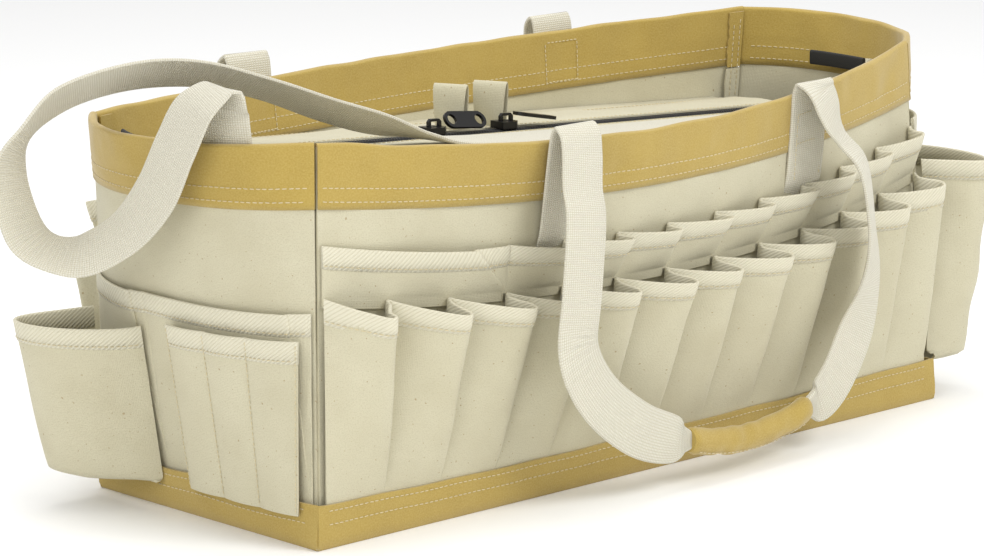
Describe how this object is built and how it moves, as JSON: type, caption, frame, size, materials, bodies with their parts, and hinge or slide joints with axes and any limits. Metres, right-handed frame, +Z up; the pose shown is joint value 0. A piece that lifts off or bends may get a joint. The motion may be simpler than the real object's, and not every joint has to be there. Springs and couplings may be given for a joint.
{
  "type": "tool tote bag",
  "caption": "Rectangular canvas tool bag with pleated side pockets, tan rim and base bands, two web carry handles, a web shoulder strap and a recessed zip lid.",
  "frame": {"origin": "on the ground under the middle of the base", "axes": "+X along the bag, away from the end with the strap loop; -Y the front with the wide upper pocket at its left; +Z up"},
  "size_m": [0.7911, 0.3435, 0.3071],
  "materials": {
    "canvas": "natural cotton duck, plain weave, matt",
    "tan_canvas": "dyed duck canvas, soft matt nap",
    "twill_tape": "cotton twill tape, diagonal rib",
    "webbing": "cotton webbing, basket weave",
    "zip_black": "black woven zip tape and coil",
    "slider_black": "black enamelled zinc, satin"
  },
  "bodies": {
    "bag": {"front_wall_panel": "canvas", "front_rim_band": "tan_canvas", "front_base_band": "tan_canvas", "right_wall_panel": "canvas", "right_rim_band": "tan_canvas", "right_base_band": "tan_canvas", "back_wall_panel": "canvas", "back_rim_band": "tan_canvas", "back_base_band": "tan_canvas", "left_wall_panel": "canvas", "left_rim_band": "tan_canvas", "left_base_band": "tan_canvas", "base_boot": "tan_canvas", "floor_panel": "canvas", "front_lower_pockets": "canvas", "front_lower_binding": "twill_tape", "front_upper_pockets": "canvas", "front_upper_binding": "twill_tape", "back_lower_pockets": "canvas", "back_lower_binding": "twill_tape", "back_upper_pockets": "canvas", "back_upper_binding": "twill_tape", "left_panel_pockets": "canvas", "left_panel_binding": "twill_tape", "left_gusset_pocket": "canvas", "left_gusset_binding": "twill_tape", "right_panel_pockets": "canvas", "right_panel_binding": "twill_tape", "right_gusset_pocket": "canvas", "right_gusset_binding": "twill_tape", "left_slot_patch": "canvas", "left_slot_binding": "twill_tape", "front_lid_hem": "canvas", "back_lid_hem": "canvas", "left_lid_end": "canvas", "left_lid_end_binding": "zip_black", "right_lid_end": "canvas", "right_lid_end_binding": "zip_black", "front_left_handle_anchor": "webbing", "front_right_handle_anchor": "webbing", "back_left_handle_anchor": "webbing", "back_right_handle_anchor": "webbing", "shoulder_strap_anchor": "webbing", "shoulder_strap_lay": "webbing"},
    "front_handle": {"front_handle_web": "webbing", "front_handle_grip": "tan_canvas"},
    "back_handle": {"back_handle_web": "webbing", "back_handle_grip": "tan_canvas"},
    "front_flap": {"front_lid_flap": "canvas", "front_zip_half": "zip_black"},
    "back_flap": {"back_lid_flap": "canvas", "back_zip_half": "zip_black"},
    "left_slider": {"left_slider": "slider_black", "left_pull_loop": "canvas"},
    "right_slider": {"right_slider": "slider_black", "right_pull_loop": "canvas"},
    "left_pull": {"left_pull_tab": "slider_black"},
    "right_pull": {"right_pull_tab": "slider_black"},
    "shoulder_strap": {"shoulder_strap_loop": "webbing"}
  },
  "joints": [
    {"name": "front_handle_swing", "type": "hinge", "parent": "bag", "child": "front_handle", "pos_m": [0.01751, -0.13983, 0.25122], "axis": [-0.9987, -0.0516, 0], "range_deg": [0, 175]},
    {"name": "back_handle_swing", "type": "hinge", "parent": "bag", "child": "back_handle", "pos_m": [-0.0005, 0.1402, 0.27066], "axis": [0.9994, -0.0343, 0], "range_deg": [0, 175]},
    {"name": "front_flap_fold", "type": "hinge", "parent": "bag", "child": "front_flap", "pos_m": [0, -0.082, 0.22], "axis": [-0.9985, 0, 0.0549], "range_deg": [0, 70]},
    {"name": "back_flap_fold", "type": "hinge", "parent": "bag", "child": "back_flap", "pos_m": [0, 0.082, 0.22], "axis": [0.9985, 0, -0.0549], "range_deg": [0, 70]},
    {"name": "left_slider_run", "type": "slide", "parent": "bag", "child": "left_slider", "axis": [-0.9985, 0, 0.0549], "range_m": [0, 0.152]},
    {"name": "right_slider_run", "type": "slide", "parent": "bag", "child": "right_slider", "axis": [0.9985, 0, -0.0549], "range_m": [0, 0.235]},
    {"name": "left_pull_flip", "type": "hinge", "parent": "left_slider", "child": "left_pull", "pos_m": [-0.089, 0, 0.2423], "axis": [0, -1, 0], "range_deg": [0, 80]},
    {"name": "right_pull_flip", "type": "hinge", "parent": "right_slider", "child": "right_pull", "pos_m": [-0.021, 0, 0.23856], "axis": [0, -1, 0], "range_deg": [0, 80]},
    {"name": "shoulder_strap_rock", "type": "hinge", "parent": "bag", "child": "shoulder_strap", "pos_m": [-0.32969, -0.05543, 0.26535], "axis": [0, -1, 0], "range_deg": [0, 15]}
  ]
}
